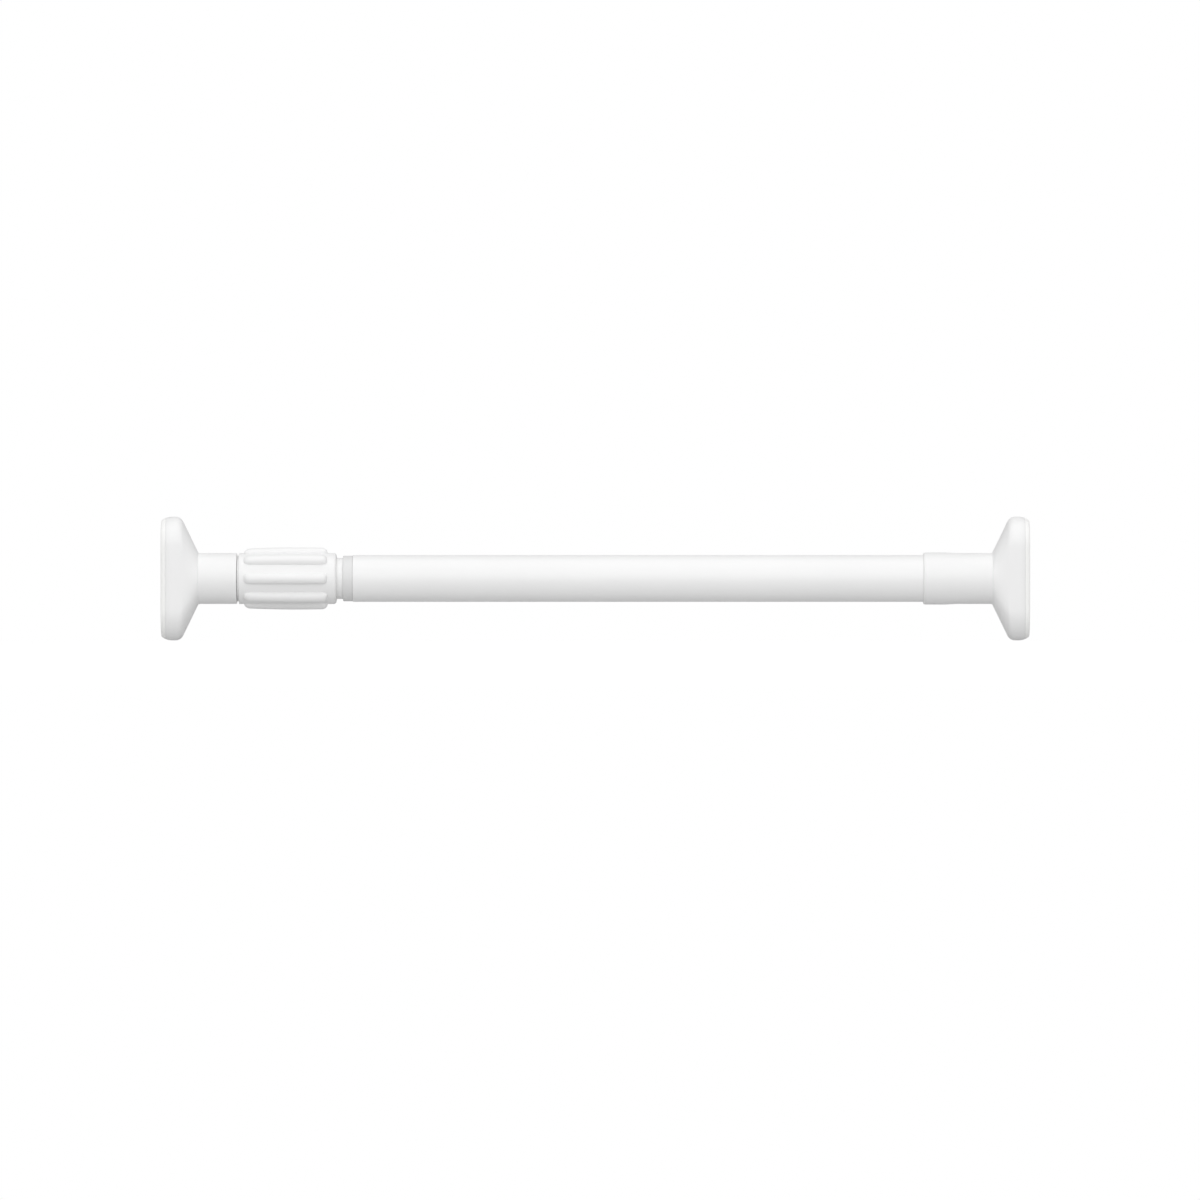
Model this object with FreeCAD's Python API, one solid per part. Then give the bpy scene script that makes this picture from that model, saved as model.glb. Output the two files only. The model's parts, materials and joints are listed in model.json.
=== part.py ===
import FreeCAD, Part
import math
import os

# Telescopic tension rod with upright oblong feet, a jack grip and an inner spring.
# The rod lies along X, its axis at Y = Z = 0, and X = 0 is at half its length.
# All sizes are in millimetres. Stations are counted from the left wall face.

V = FreeCAD.Vector
X_AXIS = V(1, 0, 0)
ORIGIN = V(0, 0, 0)

# Tubes
outer_tube_d = 25.0
outer_tube_wall = 0.8
inner_tube_wall = 0.7
tube_play = 0.7
outer_tube_seen = 305.3
neck_length = 3.5

# Feet and pads
pad_thickness = 2.4
foot_height = 66.2
foot_depth = 34.0
foot_end_flat = 1.0
foot_crown_r = 8.7
foot_crown_depth = 3.2
crown_steps = 3
foot_rim_depth = 7.9
foot_rim_edge_r = 4.5
flare_slope_deg = 64.0
flare_end_step = 0.6
flare_root_length = 1.6
flare_side_deg = 32.0
flare_top_deg = 5.0
foot_wall = 2.4
foot_rib = 1.8
foot_rib_pitch = 11.0
foot_cross_ribs = 4
foot_web = 3.0
pad_lip_depth = 1.6
pad_lip_width = 2.0
pad_edge = 0.5

# Sleeves of the feet
sleeve_wall = 1.1
left_sleeve_depth = 38.0
left_sleeve_wall = 2.0
right_sleeve_depth = 54.4
mouth_band_rise = 0.35
mouth_band_length = 11.8
mouth_taper_length = 6.4
mouth_lip_r = 1.2
sleeve_edge = 0.35
boss_wall = 2.5
boss_clear_of_end = 2.0
sleeve_rib_back = 4.0

# Twist grip
seam_gap = 1.1
collar_drop = 1.0
grip_length = 52.2
grip_wall = 1.55
liner_wall = 1.05
grip_web = 3.5
grip_edge_r = 1.5
edge_steps = 4
rib_count = 8
rib_width = 5.8
rib_start_rise = 2.45
rib_end_rise = 2.8
rib_bow = 0.3
rib_tip_share = 0.4
rib_bow_steps = 3
rib_end_steps = 3
rib_start = 2.7
rib_stop_short = 4.8
rib_ramp_left = 3.8
rib_ramp_right = 3.0
liner_back = 0.6

# Ring of the tube end bush
ring_step = 0.3
ring_length = 5.1
ring_edge = 0.7
bush_spigot_length = 10.0

# Jack spindle, a bar with two flats that the nut runs on
spindle_room = 5.0
flat_depth = 1.4
tail_step = 1.75
seat_length = 28.0
tail_length = 2.5
jack_travel = 20.0
stop_ring_rim = 0.7
stop_ring_thickness = 1.1
stop_ring_groove = 0.8
stop_ring_spare = 1.0
nut_wall = 3.5
nut_length = 12.0
spindle_hole_gap = 0.5

# Thrust sleeve, washer, socket and spring
washer_thickness = 1.4
flange_play = 0.35
flange_thickness = 3.0
thrust_barrel_length = 21.1
spring_travel = 3.0
travel_spare = 0.2
socket_wall = 1.15
socket_flange_thickness = 1.4
socket_floor = 3.0
key_width = 5.6
key_length = 8.0
key_height = 1.0
key_from_flange = 9.7
spring_wire_d = 1.7
spring_gap = 0.3
spring_length = 41.8
spring_turns = 6.0
spring_wire_sides = 6
spring_grind = 0.4

# Twist lock at the inner tube's far end
plug_depth = 28.0
plug_flange_thickness = 2.5
plug_wall = 3.3
stud_d = 8.0
stud_seat = 16.0
lock_pitch = 1.25
lock_turns = 1.0
lock_sleeve_length = 24.0
lock_sleeve_collar = 6.0
lock_collar_play = 1.0
lock_sleeve_wall = 3.5
lock_taper_deg = 7.75
lock_slit = 3.0
cone_length = 14.0
cone_overhang = 6.4
stop_nut_across_flats = 13.0
stop_nut_length = 4.0
stop_nut_gap = 1.0
stud_tail = 1.5
stud_clear_of_plug = 7.4

# Plug and screws that hold the feet
tube_plug_length = 20.0
tube_plug_wall = 2.4
screw_d = 5.0
screw_head_d = 9.5
screw_head_height = 3.2
screw_thread_length = 14.0
screw_socket_d = 3.6
screw_socket_depth = 1.8

# Clearances
running_gap = 0.05
press_gap = 0.02
face_gap = 0.1
side_gap = 0.2

# Stations along the rod, from the left wall face to the right one
left_seam = pad_thickness
left_sleeve_end = left_seam + left_sleeve_depth
grip_start = left_sleeve_end + seam_gap
grip_end = grip_start + grip_length
ring_start = grip_end + neck_length
ring_end = ring_start + ring_length
mouth_start = ring_end + outer_tube_seen
right_seam = mouth_start + right_sleeve_depth
overall_length = right_seam + pad_thickness

# Radii that several pieces share, each worked out from the thick tube's
outer_tube_r = outer_tube_d / 2
outer_bore_r = outer_tube_r - outer_tube_wall
inner_tube_r = outer_bore_r - tube_play
inner_bore_r = inner_tube_r - inner_tube_wall
sleeve_r = outer_tube_r + sleeve_wall
mouth_band_r = sleeve_r + mouth_band_rise
flare_end_r = sleeve_r + flare_end_step
ring_r = outer_tube_r - ring_step
liner_bore_r = inner_tube_r + running_gap
grip_bore_r = liner_bore_r + liner_wall
grip_r = grip_bore_r + grip_wall
foot_half = foot_height / 2
foot_side = foot_depth / 2
spindle_r = inner_tube_r - spindle_room
flats_width = 2 * (spindle_r - flat_depth)
tail_r = spindle_r - tail_step
nut_across_flats = 2 * (spindle_r + nut_wall)
flange_r = grip_bore_r - flange_play
boss_r = spindle_r + boss_wall
socket_outer_r = inner_bore_r - running_gap
socket_bore_r = socket_outer_r - socket_wall
thrust_barrel_r = socket_bore_r - running_gap
spring_outer_r = socket_bore_r - spring_gap
key_hole_r = spindle_r + 2 * running_gap
stud_r = stud_d / 2
lock_bore_r = outer_bore_r - lock_sleeve_wall

# Places along the grip and inside the jack
ribs_start = grip_start + rib_start
ribs_end = grip_end - rib_stop_short
rib_length = ribs_end - ribs_start
nut_start = grip_start + grip_web + face_gap
nut_end = nut_start + nut_length
washer_start = nut_end + face_gap
flange_start = washer_start + washer_thickness + face_gap
flange_end = flange_start + flange_thickness
liner_start = flange_end + side_gap
socket_start = flange_end + spring_travel + travel_spare
inner_tube_start = socket_start + socket_flange_thickness
barrel_end = flange_end + thrust_barrel_length
spring_start = barrel_end + face_gap
spring_end = spring_start + spring_length
socket_end = spring_end + face_gap + socket_floor
boss_end = left_sleeve_depth - boss_clear_of_end
spindle_seat = boss_end - seat_length
spindle_start = left_seam + spindle_seat
stop_ring_start = barrel_end + jack_travel + stop_ring_spare
spindle_end = stop_ring_start + stop_ring_thickness + tail_length
key_start = flange_end + key_from_flange

# Places in the right foot
flare_slope = math.radians(flare_slope_deg)
flare_end = foot_rim_depth + (foot_half - flare_end_r) / math.tan(flare_slope)
pocket_floor = flare_end - foot_web
outer_tube_end = right_seam - flare_end - face_gap
tube_plug_start = outer_tube_end - tube_plug_length

# Places inside the lock, counted back from the plug in the thick tube
stud_end = tube_plug_start - stud_clear_of_plug
stop_nut_start = stud_end - stud_tail - stop_nut_length
cone_end = stop_nut_start - stop_nut_gap
cone_start = cone_end - cone_length
lock_sleeve_end = cone_end - cone_overhang
lock_sleeve_start = lock_sleeve_end - lock_sleeve_length
plug_flange_end = lock_sleeve_start - side_gap
inner_tube_end = plug_flange_end - plug_flange_thickness
lock_travel = lock_pitch * lock_turns
lock_slope = math.tan(math.radians(lock_taper_deg))


def at(station):
    """The X of a station that is counted from the left wall face."""
    return station - overall_length / 2


def cylinder(start, end, radius):
    return Part.makeCylinder(radius, end - start, V(at(start), 0, 0), X_AXIS)


def tube(start, end, outer_r, inner_r):
    return cylinder(start, end, outer_r).cut(cylinder(start - 1, end + 1, inner_r))


def block(start, end, width_y, width_z):
    corner = V(at(start), -width_y / 2, -width_z / 2)
    return Part.makeBox(end - start, width_y, width_z, corner)


def turned(points):
    """A ring or bar turned about X from a closed profile of station and radius."""
    outline = [V(at(station), 0, radius) for station, radius in points]
    face = Part.Face(Part.makePolygon(outline + outline[:1]))
    return face.revolve(ORIGIN, X_AXIS, 360)


def prism(start, end, across_flats):
    """A hexagonal bar along X."""
    reach = across_flats / math.sqrt(3)
    corners = [around(at(start), reach, 60 * k) for k in range(6)]
    face = Part.Face(Part.makePolygon(corners + corners[:1]))
    return face.extrude(V(end - start, 0, 0))


def around(x, radius, angle_deg):
    """A point across X, at a radius and an angle that is counted from +Y towards +Z."""
    angle = math.radians(angle_deg)
    return V(x, radius * math.cos(angle), radius * math.sin(angle))


def ring_edges(shape, station, radius):
    """Circular edges about X at one station and radius."""
    found = []
    for edge in shape.Edges:
        curve = edge.Curve
        if not isinstance(curve, Part.Circle):
            continue
        if abs(curve.Center.x - at(station)) < 0.01 and abs(curve.Radius - radius) < 0.01:
            found.append(edge)
    return found


def eased(shape, station, radius, size):
    """The shape with one circular edge broken."""
    return shape.makeChamfer(size, ring_edges(shape, station, radius))


def round_end(start, end, radius, edge_r):
    """A round bar whose far end is rounded, in flat steps."""
    points = [(start, 0), (start, radius)]
    for k in range(edge_steps + 1):
        angle = math.radians(90) * k / edge_steps
        drop = edge_r * (1 - math.cos(angle))
        points.append((end - edge_r * (1 - math.sin(angle)), radius - drop))
    points.append((end, 0))
    return turned(points)


def arc(a, b, c):
    return Part.Arc(a, b, c).toShape()


def oblong_section(x, half_y, half_z):
    """An upright oblong across X, whose round ends have a short flat at top and bottom."""
    corner_r = half_y - foot_end_flat
    straight = half_z - corner_r
    bend = corner_r * math.sqrt(0.5)
    edges = []
    for way in (1, -1):
        low = V(x, way * half_y, -way * straight)
        high = V(x, way * half_y, way * straight)
        near = V(x, way * foot_end_flat, way * half_z)
        far = V(x, -way * foot_end_flat, way * half_z)
        after = V(x, -way * half_y, way * straight)
        edges.append(Part.makeLine(low, high))
        edges.append(arc(high, V(x, way * (foot_end_flat + bend), way * (straight + bend)), near))
        edges.append(Part.makeLine(near, far))
        edges.append(arc(far, V(x, -way * (foot_end_flat + bend), way * (straight + bend)), after))
    return Part.Wire(edges)


def round_section(x, radius):
    """A circle across X in eight arcs, which answer to an oblong's sides, corners and ends."""
    stops = [-flare_side_deg, flare_side_deg, 90 - flare_top_deg, 90 + flare_top_deg]
    turns = [stop + way for way in (0, 180) for stop in stops]
    turns.append(turns[0] + 360)
    edges = []
    for start, end in zip(turns, turns[1:]):
        middle = (start + end) / 2
        edges.append(arc(around(x, radius, start), around(x, radius, middle), around(x, radius, end)))
    return Part.Wire(edges)


def crown_drop(depth):
    """How far the crowned front draws in at a depth behind the pad's seam."""
    away = max(foot_crown_depth - depth, 0.0)
    return foot_crown_r - math.sqrt(foot_crown_r ** 2 - away ** 2)


def crown_section(depth, inset):
    """The crowned front's section at a depth, drawn in by an inset."""
    drop = crown_drop(depth) + inset
    return oblong_section(depth, foot_side - drop, foot_half - drop)


def side_half(depth):
    """Half depth of the foot behind the crown, which tapers evenly to the flare's end."""
    share = (depth - foot_crown_depth) / (flare_end - foot_crown_depth)
    return foot_side + (flare_end_r - foot_side) * share


def crown_sections():
    """Sections of the crowned front of the plate, from the seam to its full width."""
    depths = [foot_crown_depth * k / crown_steps for k in range(crown_steps + 1)]
    return [crown_section(depth, 0.0) for depth in depths]


def rim_sections():
    """Sections of the round edge between the plate's top or bottom and its flare."""
    arc_start = foot_rim_depth - foot_rim_edge_r * math.tan(flare_slope / 2)
    sections = []
    for k in range(edge_steps + 1):
        angle = flare_slope * k / edge_steps
        depth = arc_start + foot_rim_edge_r * math.sin(angle)
        drop = foot_rim_edge_r * (1 - math.cos(angle))
        sections.append(oblong_section(depth, side_half(depth), foot_half - drop))
    return sections


def foot_plate():
    """The plate and its oblong-to-round flare, with the pad's seam at X = 0."""
    sections = crown_sections() + rim_sections()
    sections.append(round_section(flare_end, flare_end_r))
    return Part.makeLoft(sections, True, True)


def flare_root(radius):
    """The hollow round where the flare runs into the sleeve, local to the foot."""
    points = [V(flare_end, 0, 0)]
    for k in range(crown_steps + 1):
        angle = math.radians(90) * k / crown_steps
        depth = flare_end + flare_root_length * (1 - math.cos(angle))
        points.append(V(depth, 0, radius + (flare_end_r - radius) * (1 - math.sin(angle))))
    points.append(V(flare_end + flare_root_length, 0, 0))
    face = Part.Face(Part.makePolygon(points + points[:1]))
    return face.revolve(ORIGIN, X_AXIS, 360)


def bar(start, end, radius):
    """A round bar local to the foot."""
    return Part.makeCylinder(radius, end - start, V(start, 0, 0), X_AXIS)


def edges_at(shape, x):
    """Edges that lie across X at one place, local to the foot."""
    return [e for e in shape.Edges if abs(e.BoundBox.XMax - x) < 0.01 and abs(e.BoundBox.XMin - x) < 0.01]


def foot_pocket():
    """The hollow behind the pad, which follows the plate and ends in front of the web."""
    deep = foot_rim_depth - foot_wall
    floor_half = flare_end_r + foot_web * math.tan(flare_slope) - foot_wall / math.cos(flare_slope)
    mouth = crown_section(0.0, foot_wall)
    middle = oblong_section(deep, side_half(deep) - foot_wall, foot_half - foot_wall - crown_drop(0.0))
    floor = oblong_section(pocket_floor, side_half(pocket_floor) - foot_wall, floor_half)
    return Part.makeLoft([mouth, middle, floor], True, True)


def pocket_ribs():
    """One flat rib up the middle of the pocket, and short ones across it."""
    start = pad_lip_depth + face_gap
    length = flare_end - start
    ribs = [Part.makeBox(length, foot_rib, foot_height, V(start, -foot_rib / 2, -foot_half))]
    for k in range(1, foot_cross_ribs // 2 + 1):
        for place in (k * foot_rib_pitch, -k * foot_rib_pitch):
            corner = V(start, -foot_side, place - foot_rib / 2)
            ribs.append(Part.makeBox(length, foot_depth, foot_rib, corner))
    return ribs[0].fuse(ribs[1:])


def sleeve_ribs():
    """Flat ribs between the left sleeve and the spindle's boss, upright and level."""
    start = flare_end - 1
    length = boss_end - sleeve_rib_back - start
    reach = sleeve_r - left_sleeve_wall / 2
    upright = Part.makeBox(length, foot_rib, 2 * reach, V(start, -foot_rib / 2, -reach))
    level = Part.makeBox(length, 2 * reach, foot_rib, V(start, -reach, -foot_rib / 2))
    return upright.fuse(level)


def hollow_plate():
    """The moulded plate with its pocket, the ribs across it and the screw's boss."""
    pocket = foot_pocket()
    boss = bar(pad_lip_depth + face_gap, flare_end, boss_r)
    return foot_plate().cut(pocket).fuse([pocket_ribs().common(pocket), boss])


def screw_way(head_seat):
    """What the foot leaves free for its screw."""
    head = bar(-1, head_seat, screw_head_d / 2 + side_gap)
    return head.fuse(bar(head_seat - 1, head_seat + foot_web + 1, screw_d / 2 + side_gap))


def double_flat(start, end, radius, across):
    """A round bar with two flats."""
    return cylinder(start, end, radius).common(block(start - 1, end + 1, 4 * radius, across))


def make_left_foot():
    wall = bar(flare_end, left_sleeve_depth, sleeve_r)
    wall = wall.makeChamfer(sleeve_edge, edges_at(wall, left_sleeve_depth))
    inside = bar(flare_end, left_sleeve_depth + 1, sleeve_r - left_sleeve_wall)
    boss = bar(flare_end - foot_web, boss_end, boss_r)
    foot = hollow_plate().fuse([flare_root(sleeve_r), wall]).cut(inside).fuse([boss, sleeve_ribs()])
    foot = foot.cut(screw_way(spindle_seat - foot_web))
    foot.translate(V(at(left_seam), 0, 0))
    seat = double_flat(
        left_seam + spindle_seat,
        left_seam + boss_end + 1,
        spindle_r + press_gap,
        flats_width + 2 * press_gap,
    )
    return foot.cut(seat).removeSplitter()


def sleeve_outline():
    """Half section of the right sleeve's outside: taper, thicker mouth band and rounded lip."""
    band_start = right_sleeve_depth - mouth_band_length
    taper_start = band_start - mouth_taper_length
    lip = right_sleeve_depth - mouth_lip_r
    points = [(flare_end, 0), (flare_end, sleeve_r), (taper_start, sleeve_r), (band_start, mouth_band_r)]
    for k in range(crown_steps + 1):
        angle = math.radians(90) * k / crown_steps
        drop = mouth_lip_r * (1 - math.cos(angle))
        points.append((lip + mouth_lip_r * math.sin(angle), mouth_band_r - drop))
    points.append((right_sleeve_depth, 0))
    return points


def make_right_foot():
    outline = [V(depth, 0, radius) for depth, radius in sleeve_outline()]
    wall = Part.Face(Part.makePolygon(outline + outline[:1])).revolve(ORIGIN, X_AXIS, 360)
    bore = bar(flare_end, right_sleeve_depth + 1, outer_tube_r + press_gap)
    foot = hollow_plate().fuse([flare_root(sleeve_r), wall]).cut(bore)
    foot = foot.cut(screw_way(pocket_floor))
    return to_right_end(foot.removeSplitter())


def to_right_end(shape):
    """A piece made with its seam at X = 0 and facing left, set at the right end instead."""
    mirrored = shape.mirror(ORIGIN, X_AXIS)
    mirrored.translate(V(at(right_seam), 0, 0))
    return mirrored


def make_pad():
    """The soft pad, local to the foot: crowned edge, flat face and a lip that locates it."""
    sections = [crown_section(-pad_thickness, pad_edge)]
    for depth in (pad_edge - pad_thickness, -pad_thickness / 2, 0.0):
        sections.append(crown_section(depth, 0.0))
    pad = Part.makeLoft(sections, True, True)
    lip_edge = foot_wall + side_gap
    reach = V(pad_lip_depth, 0, 0)
    outer = Part.Face(crown_section(0.0, lip_edge)).extrude(reach)
    inner = Part.Face(crown_section(0.0, lip_edge + pad_lip_width)).extrude(reach)
    return pad.fuse(outer.cut(inner)).removeSplitter()


def make_left_foot_pad():
    pad = make_pad()
    pad.translate(V(at(left_seam), 0, 0))
    return pad


def make_right_foot_pad():
    return to_right_end(make_pad())


def make_screw(head_seat):
    """A pan head screw, local to the foot, with its drive recess facing the wall."""
    head = bar(head_seat - screw_head_height, head_seat, screw_head_d / 2)
    head = head.makeChamfer(screw_head_height / 3, edges_at(head, head_seat - screw_head_height))
    shank = bar(head_seat, head_seat + foot_web + screw_thread_length, screw_d / 2)
    recess = prism(0, screw_socket_depth, screw_socket_d)
    recess.translate(V(head_seat - screw_head_height - at(0), 0, 0))
    return head.fuse(shank).cut(recess).removeSplitter()


def make_left_foot_screw():
    screw = make_screw(spindle_seat - foot_web)
    screw.translate(V(at(left_seam), 0, 0))
    return screw


def make_right_foot_screw():
    return to_right_end(make_screw(pocket_floor))


def make_right_tube_plug():
    plug = cylinder(tube_plug_start, outer_tube_end, outer_bore_r - press_gap)
    hollow_end = outer_tube_end - tube_plug_wall
    plug = plug.cut(cylinder(tube_plug_start - 1, hollow_end, outer_bore_r - tube_plug_wall))
    boss = cylinder(tube_plug_start, outer_tube_end, boss_r)
    hole = cylinder(tube_plug_start - 1, outer_tube_end + 1, screw_d / 2 + press_gap)
    return plug.fuse(boss).cut(hole).removeSplitter()


def make_outer_tube():
    return tube(ring_end + face_gap, outer_tube_end, outer_tube_r, outer_bore_r)


def make_tube_end_bush():
    """The grey ring in the thick tube's mouth, with the spigot that guides the thin tube."""
    ring = eased(cylinder(ring_start, ring_end, ring_r), ring_start, ring_r, ring_edge)
    spigot = cylinder(ring_end, ring_end + bush_spigot_length, outer_bore_r - press_gap)
    bore = cylinder(ring_start - 1, ring_end + bush_spigot_length + 1, inner_tube_r + running_gap)
    return ring.fuse(spigot).cut(bore).removeSplitter()


def make_inner_tube():
    return tube(inner_tube_start, inner_tube_end, inner_tube_r, inner_bore_r)


def ribbed_section(x, width, rise):
    """The grip's outline across X: arcs of its round body between half-round beads."""
    half = math.degrees(math.asin(width / 2 / grip_r))
    step = 360 / rib_count
    edges = []
    for k in range(rib_count):
        middle = 90 + step * k
        low = around(x, grip_r, middle - half)
        high = around(x, grip_r, middle + half)
        after = around(x, grip_r, middle + step - half)
        edges.append(arc(low, around(x, grip_r + rise, middle), high))
        edges.append(arc(high, around(x, grip_r, middle + step / 2), after))
    return Part.Wire(edges)


def bead_stations():
    """How far along the bead each section lies, with its share of the full width and its rise."""
    stations = []
    for k in range(rib_end_steps):
        angle = math.radians(90) * k / rib_end_steps
        stations.append((rib_ramp_left * (1 - math.cos(angle)), math.sin(angle), rib_start_rise))
    bow_length = rib_length - rib_ramp_left - rib_ramp_right
    for k in range(rib_bow_steps + 1):
        share = k / rib_bow_steps
        rise = rib_start_rise + (rib_end_rise - rib_start_rise) * share + 4 * rib_bow * share * (1 - share)
        stations.append((rib_ramp_left + bow_length * share, 1.0, rise))
    for k in range(1, rib_end_steps + 1):
        angle = math.radians(90) * k / rib_end_steps
        stations.append((rib_length - rib_ramp_right * (1 - math.sin(angle)), math.cos(angle), rib_end_rise))
    return stations


def ribbed_body():
    """The beads with the body between them, lofted from ramp to ramp."""
    sections = []
    for along, share, rise in bead_stations():
        width = rib_width * (rib_tip_share + (1 - rib_tip_share) * share)
        sections.append(ribbed_section(at(ribs_start + along), width, rise * share))
    return Part.makeLoft(sections, True, True)


def make_twist_grip():
    """The ribbed grip: a collar and web in front, the nut's pocket, and the liner's bore."""
    front = eased(cylinder(grip_start, ribs_start, grip_r), grip_start, grip_r, sleeve_edge)
    back = round_end(ribs_end, grip_end, grip_r, grip_edge_r)
    collar = cylinder(left_sleeve_end + side_gap, grip_start, grip_r - collar_drop)
    body = ribbed_body().fuse([front, back, collar])
    bore = cylinder(nut_end, grip_end + 1, grip_bore_r)
    pocket = prism(grip_start + grip_web, nut_end + 1, nut_across_flats + 2 * press_gap)
    hole = cylinder(left_sleeve_end, grip_start + grip_web + 1, spindle_r + spindle_hole_gap)
    return body.cut(bore.fuse([pocket, hole])).removeSplitter()


def make_grip_liner():
    """The bush that turns on the thin tube and traps the thrust sleeve's flange."""
    return tube(liner_start, grip_end - liner_back, grip_bore_r - press_gap, liner_bore_r)


def make_jack_spindle():
    """The screw's bar with its two flats, a stepped tail with a ring groove, and a tapped end."""
    groove_r = tail_r - stop_ring_groove
    tail = turned([
        (barrel_end + jack_travel, 0),
        (barrel_end + jack_travel, tail_r),
        (stop_ring_start - press_gap, tail_r),
        (stop_ring_start - press_gap, groove_r),
        (stop_ring_start + stop_ring_thickness + press_gap, groove_r),
        (stop_ring_start + stop_ring_thickness + press_gap, tail_r),
        (spindle_end - stop_ring_groove, tail_r),
        (spindle_end, groove_r),
        (spindle_end, 0),
    ])
    screw = double_flat(spindle_start, barrel_end + jack_travel, spindle_r, flats_width).fuse(tail)
    hole = cylinder(spindle_start - 1, spindle_start + screw_thread_length + 1, screw_d / 2 + press_gap)
    return screw.cut(hole).removeSplitter()


def make_spindle_stop_ring():
    """A snap ring with its gap downwards, in the groove at the spindle's tail."""
    start = stop_ring_start
    end = start + stop_ring_thickness
    ring = tube(start, end, spindle_r + stop_ring_rim, tail_r - stop_ring_groove + press_gap)
    corner = V(at(start) - 1, -tail_r / 2, -2 * spindle_r)
    gap = Part.makeBox(end - start + 2, tail_r, 2 * spindle_r, corner)
    return ring.cut(gap)


def make_jack_nut():
    nut = prism(nut_start, nut_end, nut_across_flats)
    return nut.cut(cylinder(nut_start - 1, nut_end + 1, spindle_r + running_gap))


def make_thrust_washer():
    return tube(washer_start, washer_start + washer_thickness, flange_r, spindle_r + spindle_hole_gap)


def make_thrust_sleeve():
    """Flange, barrel with two keys, and a bore with flats that keeps the spindle from turning."""
    flange = cylinder(flange_start, flange_end, flange_r)
    barrel = cylinder(flange_end, barrel_end, thrust_barrel_r)
    keys = block(key_start, key_start + key_length, 2 * (thrust_barrel_r + key_height), key_width)
    keys = keys.common(cylinder(key_start, key_start + key_length, thrust_barrel_r + key_height))
    hole = double_flat(flange_start - 1, barrel_end + 1, key_hole_r, flats_width + 4 * running_gap)
    return flange.fuse([barrel, keys]).cut(hole).removeSplitter()


def make_jack_socket():
    """The cup in the thin tube's end: flange, guide bore, two key windows and a floor."""
    flange = cylinder(socket_start, inner_tube_start, inner_tube_r - running_gap)
    cup = cylinder(inner_tube_start, socket_end, socket_outer_r)
    bore = cylinder(socket_start - 1, socket_end - socket_floor, socket_bore_r)
    window_end = key_start + key_length + spring_travel + 2 * travel_spare
    windows = block(key_start - side_gap, window_end, 2 * inner_tube_r, key_width + 2 * side_gap)
    vent = cylinder(socket_start, socket_end + 1, spindle_r + spindle_hole_gap)
    return flange.fuse(cup).cut(bore.fuse([windows, vent])).removeSplitter()


def make_jack_spring():
    """The compression spring: its wire carried along a helix, with both ends ground flat."""
    wire_r = spring_wire_d / 2
    radius = spring_outer_r - wire_r
    rise = spring_length - spring_wire_d
    helix = Part.makeHelix(rise / spring_turns, rise, radius)
    corners = []
    for k in range(spring_wire_sides):
        angle = 2 * math.pi * (k + 0.5) / spring_wire_sides
        corners.append(V(radius + wire_r * math.cos(angle), 0, wire_r * math.sin(angle)))
    section = Part.makePolygon(corners + corners[:1])
    coil = Part.Wire(helix.Edges).makePipeShell([section], True, True)
    coil.rotate(ORIGIN, V(0, 1, 0), 90)
    coil.translate(V(at(spring_start) + wire_r, 0, 0))
    reach = 2 * inner_tube_r
    space = block(spring_start + spring_grind, spring_end - spring_grind, reach, reach)
    return coil.common(space)


def make_lock_plug():
    """The plug in the thin tube's far end, with the flange that the split sleeve rests on."""
    body = cylinder(inner_tube_end - plug_depth, inner_tube_end, inner_bore_r - press_gap)
    flange = cylinder(inner_tube_end, plug_flange_end, inner_tube_r)
    hole = cylinder(plug_flange_end - stud_seat, plug_flange_end + 1, stud_r + press_gap)
    hollow_end = plug_flange_end - stud_seat - foot_web
    hollow = cylinder(inner_tube_end - plug_depth - 1, hollow_end, inner_bore_r - plug_wall)
    return body.fuse(flange).cut(hole.fuse(hollow)).removeSplitter()


def make_lock_stud():
    stud = cylinder(plug_flange_end - stud_seat, stud_end, stud_r)
    return eased(stud, stud_end, stud_r, stud_r / 5)


def lock_slits():
    """The slit through the split sleeve and the shorter one across from it."""
    top = block(lock_sleeve_start - 1, lock_sleeve_end + 1, lock_slit, outer_tube_d)
    top = top.common(Part.makeBox(overall_length, outer_tube_d, outer_tube_d, V(at(0), -outer_tube_r, 0)))
    low = block(lock_sleeve_start + lock_sleeve_collar, lock_sleeve_end + 1, lock_slit, outer_tube_d)
    return top.fuse(low)


def make_lock_sleeve():
    """The split sleeve that rubs in the thick tube, with the taper that the cone spreads."""
    body = cylinder(lock_sleeve_start, lock_sleeve_end, outer_bore_r - running_gap)
    taper_start = lock_sleeve_start + lock_sleeve_collar
    taper_length = lock_sleeve_end - taper_start
    wide_r = lock_bore_r + taper_length * lock_slope
    taper = Part.makeCone(lock_bore_r, wide_r, taper_length, V(at(taper_start), 0, 0), X_AXIS)
    hole = cylinder(lock_sleeve_start - 1, taper_start + 1, stud_r + lock_collar_play)
    return body.cut(taper.fuse(hole)).cut(lock_slits()).removeSplitter()


def make_lock_cone():
    """The cone on the stud, a turn away from spreading the sleeve, with keys in its slits."""
    taper_start = lock_sleeve_start + lock_sleeve_collar
    drawn_start = cone_start - lock_travel
    start_r = lock_bore_r + (drawn_start - taper_start) * lock_slope - running_gap
    end_r = start_r + (lock_sleeve_end - drawn_start) * lock_slope
    nose_end = lock_sleeve_end + lock_travel
    nose = Part.makeCone(start_r, end_r, nose_end - cone_start, V(at(cone_start), 0, 0), X_AXIS)
    head = cylinder(nose_end, cone_end, end_r)
    keys = block(cone_start + 1, cone_end, lock_slit - 2 * side_gap, 2 * (outer_bore_r - 3 * side_gap))
    keys = keys.common(cylinder(cone_start, cone_end, outer_bore_r - 3 * side_gap))
    bore = cylinder(cone_start - 1, cone_end + 1, stud_r + running_gap)
    return nose.fuse([head, keys]).cut(bore).removeSplitter()


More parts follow.
